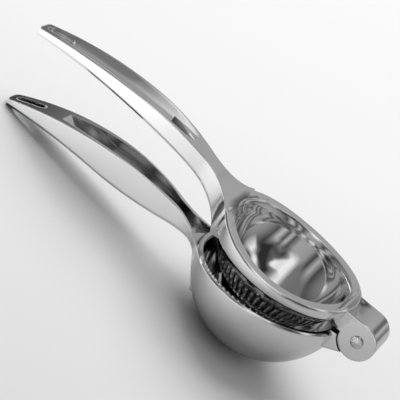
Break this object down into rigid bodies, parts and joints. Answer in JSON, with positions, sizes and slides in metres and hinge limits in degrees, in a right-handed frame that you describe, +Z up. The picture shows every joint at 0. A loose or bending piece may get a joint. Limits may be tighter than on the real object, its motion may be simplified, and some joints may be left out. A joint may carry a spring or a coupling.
{
  "type": "hinged lemon squeezer",
  "caption": "Hand-held citrus squeezer: a ribbed press cup on an upper lever folds into a drained bowl on a lower lever about a riveted end hinge.",
  "frame": {"origin": "on the floor under the middle of the tool, resting on its bowl and lower handle tip", "axes": "+X towards the hinge along the tool, +Y along the hinge pin, +Z up"},
  "size_m": [0.226, 0.081, 0.0637],
  "materials": {
    "chrome": "polished plating",
    "pin_steel": "polished"
  },
  "bodies": {
    "bowl": {"bowl_lever": "chrome"},
    "press": {"press_lever": "chrome", "hinge_pin": "pin_steel"}
  },
  "joints": [
    {"name": "hinge", "type": "hinge", "parent": "bowl", "child": "press", "pos_m": [0.10336, 0, 0.05409], "axis": [0, 1, 0], "range_deg": [-7.2, 110]}
  ]
}
